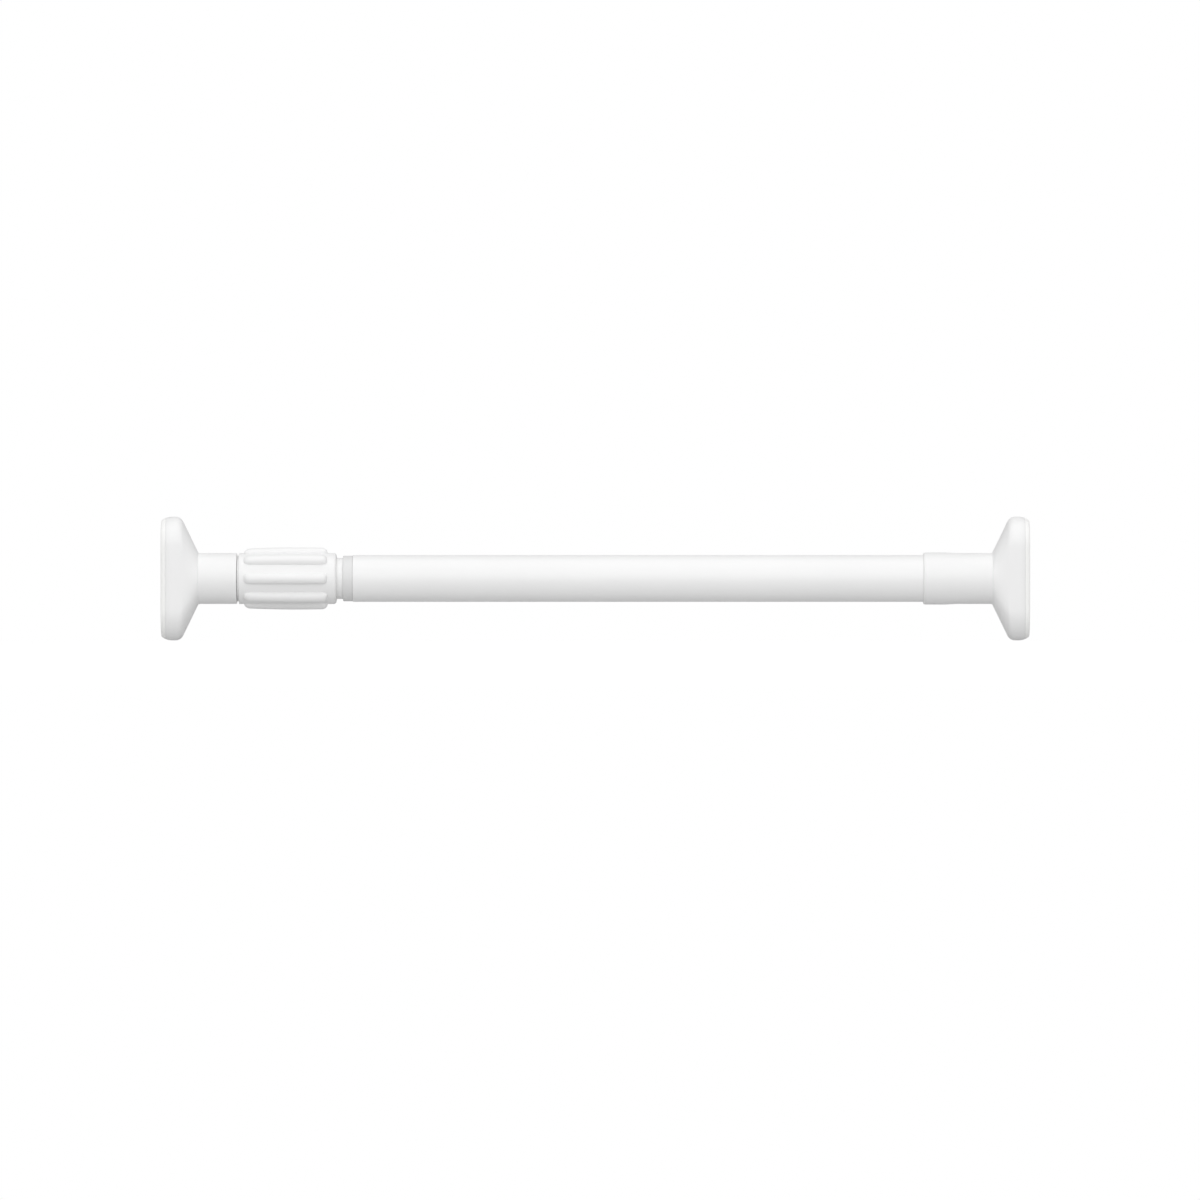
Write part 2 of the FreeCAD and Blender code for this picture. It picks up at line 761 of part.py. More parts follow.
def make_lock_stop_nut():
    nut = prism(stop_nut_start, stop_nut_start + stop_nut_length, stop_nut_across_flats)
    return nut.cut(cylinder(stop_nut_start - 1, stud_end + 1, stud_r + press_gap))


PIECES = {
    "outer_tube": make_outer_tube,
    "tube_end_bush": make_tube_end_bush,
    "right_foot": make_right_foot,
    "right_foot_pad": make_right_foot_pad,
    "right_tube_plug": make_right_tube_plug,
    "right_foot_screw": make_right_foot_screw,
    "lock_sleeve": make_lock_sleeve,
    "lock_cone": make_lock_cone,
    "lock_plug": make_lock_plug,
    "lock_stud": make_lock_stud,
    "lock_stop_nut": make_lock_stop_nut,
    "inner_tube": make_inner_tube,
    "jack_socket": make_jack_socket,
    "jack_spring": make_jack_spring,
    "thrust_sleeve": make_thrust_sleeve,
    "thrust_washer": make_thrust_washer,
    "twist_grip": make_twist_grip,
    "grip_liner": make_grip_liner,
    "jack_nut": make_jack_nut,
    "jack_spindle": make_jack_spindle,
    "spindle_stop_ring": make_spindle_stop_ring,
    "left_foot": make_left_foot,
    "left_foot_pad": make_left_foot_pad,
    "left_foot_screw": make_left_foot_screw,
}

os.makedirs("parts", exist_ok=True)
for name, make in PIECES.items():
    piece = make()
    if len(piece.Solids) == 1:
        piece = piece.Solids[0]
    piece.exportStep("parts/" + name + ".step")
    print(name, len(piece.Solids), piece.isValid(), round(piece.Volume, 1))
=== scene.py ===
import json
import math

import bmesh
import bpy
import numpy as np
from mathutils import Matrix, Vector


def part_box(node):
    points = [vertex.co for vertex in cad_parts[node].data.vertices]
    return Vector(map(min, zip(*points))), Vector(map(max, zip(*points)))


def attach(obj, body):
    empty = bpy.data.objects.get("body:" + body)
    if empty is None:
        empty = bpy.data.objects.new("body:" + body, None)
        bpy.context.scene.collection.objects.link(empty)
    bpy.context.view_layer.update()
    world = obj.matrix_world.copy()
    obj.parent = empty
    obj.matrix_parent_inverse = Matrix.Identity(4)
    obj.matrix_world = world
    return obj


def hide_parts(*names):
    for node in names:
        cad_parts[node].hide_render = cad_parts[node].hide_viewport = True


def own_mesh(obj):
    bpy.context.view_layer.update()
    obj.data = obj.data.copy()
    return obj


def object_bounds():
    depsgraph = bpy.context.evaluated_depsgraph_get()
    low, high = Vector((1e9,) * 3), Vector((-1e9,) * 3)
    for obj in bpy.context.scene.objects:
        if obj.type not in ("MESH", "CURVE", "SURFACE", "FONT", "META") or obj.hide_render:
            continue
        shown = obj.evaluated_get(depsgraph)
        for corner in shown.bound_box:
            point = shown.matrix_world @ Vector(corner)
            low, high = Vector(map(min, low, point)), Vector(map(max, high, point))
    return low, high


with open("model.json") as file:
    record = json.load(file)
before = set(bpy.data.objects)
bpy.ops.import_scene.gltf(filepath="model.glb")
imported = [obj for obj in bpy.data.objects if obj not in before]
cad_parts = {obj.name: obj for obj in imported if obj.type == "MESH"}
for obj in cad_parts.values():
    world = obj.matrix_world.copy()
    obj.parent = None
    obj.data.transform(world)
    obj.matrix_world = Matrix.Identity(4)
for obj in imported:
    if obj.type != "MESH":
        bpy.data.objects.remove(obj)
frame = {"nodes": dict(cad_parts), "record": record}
cad_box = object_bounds()

# The looks of a white telescopic tension rod. The rod lies along X with its axis at Y = Z = 0.
# Sizes are in metres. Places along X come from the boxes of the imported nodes.

MM = 0.001
AROUND = 192
SCREW_AROUND = 96
ROUND_STEPS = 6
ROUND_SHARE = 0.45
SHARP_DEG = 35
WELD = 1e-7
TINY = 1e-6
QUARTER = np.pi / 2


def span(node):
    """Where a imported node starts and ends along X."""
    low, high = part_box(node)
    return low.x, high.x


def reach(node):
    """How far a packed round node comes from the axis."""
    low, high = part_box(node)
    return (high.y - low.y) / 2


# Clearances, and how far one piece's grid reaches into another of the same piece
press_gap = 0.02 * MM
running_gap = 0.05 * MM
face_gap = 0.1 * MM
sunk = 1.0 * MM

# Extra rows near an edge, which keep the shading plain up to it
edge_row = 1.0 * MM
first_row = 3.0 * MM
sleeve_row = 8.0 * MM

# Places along the rod
left_seam, left_sleeve_end = span("left_foot")
right_sleeve_end, right_seam = span("right_foot")
right_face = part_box("right_foot_pad")[1].x
seam_gap = 1.1 * MM
grip_start = left_sleeve_end + seam_gap
collar_start, grip_end = span("twist_grip")
nut_start, nut_end = span("jack_nut")
ring_start, spigot_end = span("tube_end_bush")
ring_end = span("outer_tube")[0]

# The feet, whose sections are upright oblongs that turn into circles
side_columns = 28
corner_columns = 26
end_columns = 4
crown_rows = 7
rim_rows = 12
flare_rows = 24
root_rows = 8
foot_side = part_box("left_foot")[1].y
foot_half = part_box("left_foot")[1].z
foot_end_flat = 1.0 * MM
crown_r = 8.7 * MM
crown_depth = 3.2 * MM
rim_depth = 7.9 * MM
rim_r = 4.5 * MM
flare_slope = math.radians(64)
flare_end_r = 14.2 * MM
flare_end = rim_depth + (foot_half - flare_end_r) / math.tan(flare_slope)
flare_root = 1.6 * MM
flare_side = math.radians(32)
flare_top = math.radians(5)
foot_wall = 2.4 * MM
foot_web = 3.0 * MM
foot_rib = 1.8 * MM
foot_rib_pitch = 11.0 * MM
cross_ribs = (-2, -1, 1, 2)
pocket_shoulder = rim_depth - foot_wall
pocket_floor = flare_end - foot_web
pad_lip_depth = 1.6 * MM
pad_lip_width = 2.0 * MM
pad_lip_gap = 0.2 * MM
pad_edge_r = 0.5 * MM
pad_side_rows = 4
rib_start = pad_lip_depth + face_gap
seam_round = 0.22 * MM
seam_middle = 0.3
first_crown_row = 0.5 * MM
boss_r = 8.5 * MM
boss_edge = 0.3 * MM
boss_clear = 2.0 * MM
boss_rib_clear = 4.0 * MM
spindle_seat = 8.0 * MM

# Tubes, sleeves and the ring
tube_edge_r = 0.15 * MM
outer_wall = 0.8 * MM
inner_wall = 0.7 * MM
sleeve_rise = 1.1 * MM
band_rise = 0.35 * MM
outer_r = reach("outer_tube")
outer_bore_r = outer_r - outer_wall
inner_r = reach("inner_tube")
inner_bore_r = inner_r - inner_wall
sleeve_r = outer_r + sleeve_rise
sleeve_wall = 2.0 * MM
sleeve_edge = 0.3 * MM
sleeve_bore_edge = 0.2 * MM
band_r = sleeve_r + band_rise
band_length = 11.8 * MM
band_taper = 6.4 * MM
mouth_lip_r = 1.2 * MM
mouth_bore_edge = 0.15 * MM
ring_r = reach("tube_end_bush")
ring_front_r = 0.9 * MM
ring_back_r = 0.2 * MM
ring_bore_edge = 0.3 * MM
spigot_root_r = 0.05 * MM
spigot_edge_r = 0.3 * MM
spigot_bore_edge = 0.1 * MM

# The grip and its beads
grip_r = 13.65 * MM
collar_drop = 1.4 * MM
collar_edge = 0.15 * MM
grip_front_r = 0.35 * MM
grip_back_r = 1.5 * MM
grip_front_rows = 5
grip_back_rows = 8
grip_bore_r = reach("grip_liner") + press_gap
bore_edge = 0.1 * MM
spindle_hole_r = 6.5 * MM
bead_room = 0.6 * MM
bead_ramp_rows = 12
bead_crest_rows = 14
bead_columns = 17
gap_columns = 4
bead_count = 8
bead_start = 2.7 * MM
bead_length = 44.7 * MM
bead_half_width = 2.9 * MM
bead_left_rise = 2.45 * MM
bead_right_rise = 2.8 * MM
bead_bow = 0.3 * MM
bead_left_ramp = 3.8 * MM
bead_right_ramp = 3.0 * MM
bead_tip_share = 0.4
nut_half = 9.5 * MM

# The jack's screw, the lock's stud and the screws that hold the feet
# The root's half width and the flank are shares of the pitch
thread_root_half = 0.17
thread_flank = 0.16
spindle_r = 6.0 * MM
spindle_flat = 4.6 * MM
thread_pitch = 3.0 * MM
thread_depth = 1.75 * MM
thread_rows = 12
thread_inset = 0.9 * MM
jack_travel = 20.0 * MM
ring_groove_share = 0.81
tail_edge = 0.8 * MM
stud_pitch = 1.25 * MM
stud_thread_depth = 0.75 * MM
screw_r = 2.5 * MM
screw_pitch = 0.8 * MM
screw_thread_depth = 0.48 * MM
screw_thread_rows = 10
screw_head_height = 3.2 * MM
screw_head_edge = 1.05 * MM
screw_socket_half = 1.8 * MM
screw_socket_depth = 1.8 * MM

# The spring
spring_wire_r = 0.85 * MM
spring_turns = 6
spring_rows = 40
wire_columns = 14
spring_grind = 0.4 * MM

# The finishes' clouds and grain
noise_mean = 0.5
grain_share = 0.5
cloud_scale = 18.0
cloud_detail = 3.0
grain_detail = 2.0
grain_roughness = 0.6
grain_height = 0.05 * MM

# The floor, the world, the lamps and the camera, fitted to the photo's levels of light
floor_radius = 2.2
floor_rings = 12
floor_columns = 96
floor_drop = 8 * MM
floor_level = 0.67
floor_fade_start = 0.7
floor_own_share = 0.5
floor_own_light = 1.64
world_light = 0.54
world_seen = 1.0
lamp_distance = 2.0
lamp_width = 2.8
lamp_height = 2.0
front_lamp_deg = 17
front_lamp_watts = 22.5
top_lamp_deg = 75
top_lamp_watts = 16.5
sensor_width = 36.0
camera_distance = 6.0
camera_sight = 100.0
camera_x = 2.5 * MM
camera_z = -11.5 * MM
frame_width = 642.4 * MM


def add_piece(name, grids, body, replaced, finish):
    """A piece made from grids of points, on a body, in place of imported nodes."""
    mesh = grid_mesh(name, grids)
    mesh.shade_smooth()
    mesh.set_sharp_from_angle(angle=math.radians(SHARP_DEG))
    mesh.materials.append(finish)
    piece = bpy.data.objects.new(name, mesh)
    bpy.context.scene.collection.objects.link(piece)
    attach(piece, body)
    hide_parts(*replaced)
    return piece


def grid_mesh(name, grids):
    """One mesh from one or more grids of points.

    A grid has rows by columns by three. Its columns close on themselves, its rows only if it says so.
    Each small square between neighbouring rows and columns becomes a face."""
    points = []
    faces = []
    start = 0
    for grid, rows_close in grids:
        rows, columns = grid.shape[:2]
        index = start + np.arange(rows * columns).reshape(rows, columns)
        below = np.roll(index, -1, axis=0)
        if not rows_close:
            index, below = index[:-1], below[:-1]
        quads = np.stack([index, np.roll(index, -1, 1), np.roll(below, -1, 1), below], axis=-1)
        points.append(grid.reshape(-1, 3))
        faces.append(quads.reshape(-1, 4))
        start += rows * columns
    mesh = bpy.data.meshes.new(name)
    mesh.from_pydata(np.concatenate(points), [], np.concatenate(faces).tolist())
    close_poles(mesh)
    return mesh


def close_poles(mesh):
    """Joins points that fall together, such as a row drawn in to the axis, and faces outwards."""
    work = bmesh.new()
    work.from_mesh(mesh)
    bmesh.ops.remove_doubles(work, verts=work.verts, dist=WELD)
    bmesh.ops.recalc_face_normals(work, faces=work.faces)
    work.to_mesh(mesh)
    work.free()


def angles(count=AROUND):
    """Even steps round a circle."""
    return np.arange(count) * 2 * np.pi / count


def swept(x, radius, theta=None):
    """Rows of points about X: x is one value a row, radius one a row or one a row and column."""
    theta = angles() if theta is None else theta
    x = np.asarray(x, float)[:, None]
    radius = np.asarray(radius, float)
    radius = radius[:, None] if radius.ndim == 1 else radius
    x, radius, theta = np.broadcast_arrays(x, radius, theta)
    return np.stack([x, radius * np.cos(theta), radius * np.sin(theta)], axis=-1)


def rounded(corners):
    """A line of (x, radius, rounding) corners, each cut off by an arc of that rounding.

    An arc's points are a quadratic blend of where it leaves one side, the corner, and where it
    meets the next side."""
    corner = np.array([c[:2] for c in corners], float)
    rounding = np.array([c[2] for c in corners], float)
    to_last = np.roll(corner, 1, 0) - corner
    to_next = np.roll(corner, -1, 0) - corner
    last_length = np.linalg.norm(to_last, axis=1)
    next_length = np.linalg.norm(to_next, axis=1)
    cut = np.minimum(rounding, ROUND_SHARE * np.minimum(last_length, next_length))
    a = corner + to_last * (cut / last_length)[:, None]
    b = corner + to_next * (cut / next_length)[:, None]
    t = np.linspace(0, 1, ROUND_STEPS + 1)[None, :, None]
    line = (1 - t) ** 2 * a[:, None] + 2 * t * (1 - t) * corner[:, None] + t ** 2 * b[:, None]
    return line.reshape(-1, 2)


def turned(corners):
    """A ring turned about X from a closed line of rounded corners."""
    line = rounded(corners)
    return swept(line[:, 0], line[:, 1]), True


def tube_rings(start, end, outside, inside):
    """A tube whose four edges are slightly rounded."""
    corners = [(start, outside), (end, outside), (end, inside), (start, inside)]
    return turned([(x, radius, tube_edge_r) for x, radius in corners])


def oblong_columns():
    """The columns of a foot's sections: two sides, two ends and the four corners between them.

    Each has the corner's angle, the place along the side and along the end from -1 to 1, and the
    angle at which it meets a circle."""
    along = np.linspace(-1, 1, side_columns, endpoint=False)
    across = np.linspace(1, -1, end_columns, endpoint=False)
    share = np.linspace(0, 1, corner_columns, endpoint=False)
    lean = np.concatenate([0 * along, QUARTER * share, QUARTER + 0 * across, QUARTER * (1 + share)])
    up = np.concatenate([along, 1 + 0 * share, 1 + 0 * across, 1 + 0 * share])
    out = np.concatenate([1 + 0 * along, 1 + 0 * share, across, -1 + 0 * share])
    corner_turn = QUARTER - flare_side - flare_top
    turn = np.concatenate([
        flare_side * along,
        flare_side + corner_turn * share,
        QUARTER - flare_top * across,
        QUARTER + flare_top + corner_turn * share,
    ])
    return (
        np.concatenate([lean, lean + np.pi]),
        np.concatenate([up, -up]),
        np.concatenate([out, -out]),
        np.concatenate([turn, turn + np.pi]),
    )


def oblong(half_y, half_z, scale=1.0):
    """Rows of oblong sections: corner centre plus corner radius times the cosine and sine of its angle."""
    lean, up, out, _ = oblong_columns()
    rows = [np.atleast_1d(value)[:, None] for value in (half_y, half_z, scale)]
    half_y, half_z, scale = np.broadcast_arrays(*rows)
    corner_r = half_y - foot_end_flat
    y = out * foot_end_flat + corner_r * np.cos(lean)
    z = up * (half_z - corner_r) + corner_r * np.sin(lean)
    return scale * y, scale * z


def crown_drop(depth):
    """How far the crowned edge draws in: what an arc of the crown's radius leaves at that depth."""
    away = np.maximum(crown_depth - depth, 0)
    return crown_r - np.sqrt(crown_r ** 2 - away ** 2)


def crowned(depth, inset, scale=1.0):
    """Oblong sections of the crowned edge, drawn in by an inset."""
    drop = crown_drop(depth) + inset
    return oblong(foot_side - drop, foot_half - drop, scale)


def side_half(depth):
    """Half depth of the foot behind the crown, which tapers evenly to the flare's end."""
    return foot_side + (flare_end_r - foot_side) * (depth - crown_depth) / (flare_end - crown_depth)


def pocket_half(depth):
    """Half depth and half height of the hollow behind the pad, straight between mouth, wall and floor."""
    mouth = crown_drop(0.0) + foot_wall
    shoulder_y = side_half(pocket_shoulder) - foot_wall
    floor_y = side_half(pocket_floor) - foot_wall
    floor_z = flare_end_r + foot_web * math.tan(flare_slope) - foot_wall / math.cos(flare_slope)
    stops = [0, pocket_shoulder, pocket_floor]
    half_y = np.interp(depth, stops, [foot_side - mouth, shoulder_y, floor_y])
    half_z = np.interp(depth, stops, [foot_half - mouth, foot_half - mouth, floor_z])
    return half_y, half_z


def foot_skin(seam, way, sleeve_line):
    """A whole foot in rows from the pocket's middle, round the plate and down the flare to the sleeve.

    The crown is an arc, the rim an arc up to the flare's slope, and the flare a straight blend from
    the oblong to the circle. The sleeve line then gives depth and radius, outside and inside."""
    turn = oblong_columns()[3]
    pocket_depth = np.array([pocket_floor, pocket_floor, pocket_shoulder, seam_round, 0])
    pocket_y, pocket_z = pocket_half(pocket_depth)
    wider = np.array([0, 0, 0, 0, seam_round])
    pocket = oblong(pocket_y + wider, pocket_z + wider, np.array([0, 1, 1, 1, 1]))
    seam_depth = seam_round * np.array([0, seam_middle, 1])
    seam_inset = seam_round * np.array([1, seam_middle, 0])
    front_depth = np.concatenate([seam_depth, np.linspace(first_crown_row, crown_depth, crown_rows)])
    front = crowned(front_depth, np.concatenate([seam_inset, np.zeros(crown_rows)]))
    bend = np.linspace(0, flare_slope, rim_rows)
    rim = rim_depth - rim_r * math.tan(flare_slope / 2) + rim_r * np.sin(bend)
    rim_y, rim_z = oblong(side_half(rim), foot_half - rim_r * (1 - np.cos(bend)))
    share = np.linspace(0, 1, flare_rows + 1)[1:, None]
    flare_depth = rim[-1] + share[:, 0] * (flare_end - rim[-1])
    flare_y = (1 - share) * rim_y[-1] + share * flare_end_r * np.cos(turn)
    flare_z = (1 - share) * rim_z[-1] + share * flare_end_r * np.sin(turn)
    root = np.linspace(0, QUARTER, root_rows + 1)[1:]
    root_r = sleeve_r + (flare_end_r - sleeve_r) * (1 - np.sin(root))
    line = np.array(sleeve_line, float)
    round_depth = np.concatenate([flare_end + flare_root * (1 - np.cos(root)), line[:, 0]])
    round_r = np.concatenate([root_r, line[:, 1]])[:, None]
    depth = np.concatenate([pocket_depth, front_depth, rim, flare_depth, round_depth])
    y = np.concatenate([pocket[0], front[0], rim_y, flare_y, round_r * np.cos(turn)])
    z = np.concatenate([pocket[1], front[1], rim_z, flare_z, round_r * np.sin(turn)])
    x = np.broadcast_to((seam + way * depth)[:, None], y.shape)
    return np.stack([x, y, z], axis=-1), False


def flat_rib(x, far, place, upright):
    """A flat rib: rows along X that go as far to both sides, at a place across, closed at both ends."""
    corner = np.array([[1, 1], [-1, 1], [-1, -1], [1, -1]])
    x = np.concatenate([x[:1], x, x[-1:]])
    far = np.concatenate([far[:1], far, far[-1:]])
    shut = np.ones(len(x))
    shut[[0, -1]] = 0
    across = (shut * far)[:, None] * corner[:, 0]
    thick = place + shut[:, None] * corner[:, 1] * foot_rib / 2
    y, z = (thick, across) if upright else (across, thick)
    return np.stack([np.broadcast_to(x[:, None], y.shape), y, z], axis=-1), False


def pocket_ribs(seam, way):
    """One rib up the middle of the pocket, and short ones across it that stop at its round ends.

    A short rib goes out to the end's flat plus the circle's half chord at the rib's outer face."""
    depth = np.array([rib_start, pocket_shoulder, pocket_floor])
    half_y, half_z = pocket_half(depth)
    x = seam + way * depth
    ribs = [flat_rib(x, half_z, 0, True)]
    corner_r = half_y - foot_end_flat
    for step in cross_ribs:
        place = step * foot_rib_pitch
        above = np.clip(abs(place) + foot_rib / 2 - (half_z - corner_r), 0, None)
        inside = above < corner_r
        far = foot_end_flat + np.sqrt(corner_r[inside] ** 2 - above[inside] ** 2)
        ribs.append(flat_rib(x[inside], far, place, False))
    return ribs


def bar_grid(x, radius):
    """A round bar drawn in to the axis at both ends."""
    x = np.concatenate([[x[0]], x, [x[-1]]])
    radius = np.concatenate([[0], radius, [0]])
    return swept(x, radius), False


def make_left_foot(finish):
    """The left foot, whose sleeve is hollow round a ribbed boss that holds the spindle."""
    end = left_sleeve_end - left_seam
    inside = sleeve_r - sleeve_wall
    boss_end = end - boss_clear
    hole_r = spindle_r + press_gap
    line = [
        (flare_end + first_row, sleeve_r), (end - sleeve_row, sleeve_r), (end - edge_row, sleeve_r),
        (end - sleeve_edge, sleeve_r), (end - sleeve_edge / 3, sleeve_r - sleeve_edge / 3),
        (end, sleeve_r - sleeve_edge), (end, inside + sleeve_bore_edge), (end - sleeve_bore_edge, inside),
        (flare_end, inside), (flare_end, boss_r), (boss_end - boss_edge, boss_r),
        (boss_end, boss_r - boss_edge), (boss_end, hole_r), (spindle_seat, hole_r), (spindle_seat, 0),
    ]
    grids = [foot_skin(left_seam, 1, line)] + pocket_ribs(left_seam, 1) + [screw_boss(left_seam, 1)]
    x = left_seam + np.array([flare_end - sunk, boss_end - boss_rib_clear])
    far = np.full(2, inside + sunk)
    grids += [flat_rib(x, far, 0, True), flat_rib(x, far, 0, False)]
    return add_piece("left_foot_skin", grids, "left_foot", ["left_foot"], finish)


def screw_boss(seam, way):
    """The round boss in the pocket that holds the foot's screw."""
    ends = np.array([rib_start, flare_end - sunk])
    return bar_grid(seam + way * ends, np.full(2, boss_r))


def make_right_foot(finish):
    """The right foot, whose sleeve holds the thick tube and swells to a band with a rounded lip."""
    end = right_seam - right_sleeve_end
    bore = outer_r + press_gap
    band = end - band_length
    taper = band - band_taper
    lip = np.linspace(0, QUARTER, ROUND_STEPS + 1)
    lip_depth = end - mouth_lip_r + mouth_lip_r * np.sin(lip)
    lip_r = band_r - mouth_lip_r * (1 - np.cos(lip))
    line = [(flare_end + first_row, sleeve_r), (taper - edge_row, sleeve_r), (taper, sleeve_r)]
    line += [(band, band_r), (band + edge_row, band_r), (end - 2 * mouth_lip_r, band_r)]
    line += list(zip(lip_depth, lip_r))
    line += [(end, bore + bore_edge), (end - mouth_bore_edge, bore), (flare_end, bore), (flare_end, 0)]
    grids = [foot_skin(right_seam, -1, line)] + pocket_ribs(right_seam, -1) + [screw_boss(right_seam, -1)]
    return add_piece("right_foot_skin", grids, "outer_tube", ["right_foot"], finish)


def make_pad(name, seam, way, body, finish):
    """The soft pad: a flat face, a rounded edge, the foot's crown carried on, and the lip behind."""
    thickness = right_face - right_seam
    edge = np.linspace(0, QUARTER, ROUND_STEPS)
    side = np.linspace(-thickness / 2, -seam_round, pad_side_rows)
    lip = foot_wall + pad_lip_gap
    lip_inside = lip + pad_lip_width
    depth = np.concatenate([
        [-thickness], -thickness + pad_edge_r * (1 - np.cos(edge)), side, [-seam_middle * seam_round, 0],
        [0, pad_lip_depth, pad_lip_depth, 0, 0],
    ])
    inset = np.concatenate([
        [0], pad_edge_r * (1 - np.sin(edge)), 0 * side, seam_round * np.array([seam_middle, 1]),
        [lip, lip, lip_inside, lip_inside, lip_inside],
    ])
    scale = np.ones(len(depth))
    scale[[0, -1]] = 0
    y, z = crowned(np.minimum(depth, 0), inset, scale)
    x = np.broadcast_to((seam + way * depth)[:, None], y.shape)
    grid = np.stack([x, y, z], axis=-1)
    return add_piece(name + "_skin", [(grid, False)], body, [name], finish)


def bead_shape(x):
    """Half width and rise of the beads at a distance along them.

    Each end swells as a quarter ellipse, and between the ends the crest climbs with a slight bow."""
    from_left = np.clip(x / bead_left_ramp, 0, 1)
    from_right = np.clip((bead_length - x) / bead_right_ramp, 0, 1)
    swell = np.sqrt(1 - (1 - from_left) ** 2) * np.sqrt(1 - (1 - from_right) ** 2)
    between = bead_length - bead_left_ramp - bead_right_ramp
    share = np.clip((x - bead_left_ramp) / between, 0, 1)
    rise = bead_left_rise + (bead_right_rise - bead_left_rise) * share + 4 * bead_bow * share * (1 - share)
    return bead_half_width * (bead_tip_share + (1 - bead_tip_share) * swell), rise * swell


def grip_outside():
    """The ribbed outside: every bead is half an ellipse across, with plain stretches of body between.

    Columns follow the bead's own edges, so that they stay crisp where the bead narrows."""
    ends = 1 - np.cos(np.linspace(0, QUARTER, bead_ramp_rows))
    crest_end = bead_length - bead_right_ramp
    along = np.concatenate([
        bead_left_ramp * ends,
        np.linspace(bead_left_ramp, crest_end, bead_crest_rows + 2)[1:-1],
        bead_length - bead_right_ramp * ends[::-1],
    ])
    width, rise = bead_shape(along)
    swing = np.linspace(-QUARTER, QUARTER, bead_columns)
    step = 2 * np.pi / bead_count
    edge = width[:, None] / grip_r
    on_bead = edge * np.sin(swing)
    bead_r = grip_r + rise[:, None] * np.cos(swing)
    share = np.linspace(0, 1, gap_columns + 2)[1:-1]
    on_body = edge + (step - 2 * edge) * share
    body_r = np.full_like(on_body, grip_r)
    theta = np.concatenate([on_bead, on_body], axis=1)
    radius = np.concatenate([bead_r, body_r], axis=1)
    turns = QUARTER + step * np.arange(bead_count)
    theta = np.concatenate([theta + turn for turn in turns], axis=1)
    return grip_start + bead_start + along, theta, np.tile(radius, (1, bead_count))


def hexagon(half, theta):
    """Radius of a six-sided section: half its width across flats over the cosine to the nearest flat."""
    return half / np.cos((theta + np.pi / 6) % (np.pi / 3) - np.pi / 6)


def make_grip(finish):
    """The beads with a rounded body beyond each end, and the hollow that holds nut and liner."""
    x, theta, radius = grip_outside()
    round_in = np.linspace(0, QUARTER, grip_front_rows)
    collar_r = grip_r - collar_drop
    front_x = np.concatenate([
        [collar_start, collar_start, collar_start + collar_edge, grip_start],
        grip_start + grip_front_r * (1 - np.cos(round_in)), [x[0] - bead_room],
    ])
    front_r = np.concatenate([
        [spindle_hole_r + bore_edge, collar_r - collar_edge, collar_r, collar_r],
        grip_r - grip_front_r * (1 - np.sin(round_in)), [grip_r],
    ])
    round_off = np.linspace(0, QUARTER, grip_back_rows)
    back_x = np.concatenate([[x[-1] + bead_room], grip_end - grip_back_r * (1 - np.sin(round_off))])
    back_r = np.concatenate([[grip_r], grip_r - grip_back_r * (1 - np.cos(round_off))])
    plain = np.ones(theta.shape[1])
    hex_r = hexagon(nut_half, theta[-1])
    web = nut_start - face_gap
    inside_x = [grip_end, grip_end - 2 * bore_edge, nut_end, nut_end, web, web, collar_start]
    inside_r = [
        (grip_bore_r + bore_edge) * plain, grip_bore_r * plain, grip_bore_r * plain,
        hex_r, hex_r, spindle_hole_r * plain, spindle_hole_r * plain,
    ]
    rows_x = np.concatenate([front_x, x, back_x, inside_x])
    rows_r = np.concatenate([front_r[:, None] * plain, radius, back_r[:, None] * plain, inside_r])
    before = np.repeat(theta[:1], len(front_x), axis=0)
    after = np.repeat(theta[-1:], len(back_x) + len(inside_x), axis=0)
    grid = swept(rows_x, rows_r, np.concatenate([before, theta, after])), True
    return add_piece("twist_grip_skin", [grid], "twist_grip", ["twist_grip"], finish)


def thread_radius(x, theta, crest, depth, pitch):
    """Radius of a screw at places along and angles round it.

    The distance from the root's helix, as a share of the pitch, is carried through a clipped ramp, so
    that crest and root are flat and the flanks slope."""
    phase = (x[:, None] / pitch - theta[None, :] / (2 * np.pi)) % 1
    away = np.abs(phase - 0.5)
    ramp = np.clip((away - thread_root_half) / thread_flank, 0, 1)
    return crest - depth * (1 - ramp)


def screw_grid(start, thread_start, end, crest, depth, pitch, flat=None):
    """A bar from start to end whose thread begins at thread_start. Two flats, if any, cut it off at
    that height."""
    theta = angles(SCREW_AROUND)
    along = np.arange(thread_start, end, pitch / thread_rows)
    x = np.concatenate([[start, start, thread_start], along, [end, end]])
    radius = np.concatenate([
        np.full((3, SCREW_AROUND), crest),
        thread_radius(along, theta, crest, depth, pitch),
        np.full((2, SCREW_AROUND), crest - depth),
    ])
    if flat is not None:
        radius = np.minimum(radius, flat / np.maximum(np.abs(np.sin(theta)), TINY))
    radius[0] = 0
    radius[-1] = 0
    return swept(x, radius, theta), False


def make_spindle(finish):
    """The jack's screw with its two flats, and a thin tail grooved for the stop ring."""
    start, end = span("jack_spindle")
    thread_start = left_sleeve_end - thread_inset
    tail = span("thrust_sleeve")[1] + jack_travel
    screw = screw_grid(start, thread_start, tail, spindle_r, thread_depth, thread_pitch, spindle_flat)
    ring, ring_back = span("spindle_stop_ring")
    tail_r = spindle_r - thread_depth
    groove_r = ring_groove_share * tail_r
    tail_bar = bar_grid(
        np.array([tail, ring, ring, ring_back, ring_back, end - tail_edge, end]),
        np.array([tail_r, tail_r, groove_r, groove_r, tail_r, tail_r, groove_r]),
    )
    grids = [screw, tail_bar]
    return add_piece("jack_spindle_screw", grids, "left_foot", ["jack_spindle"], finish)


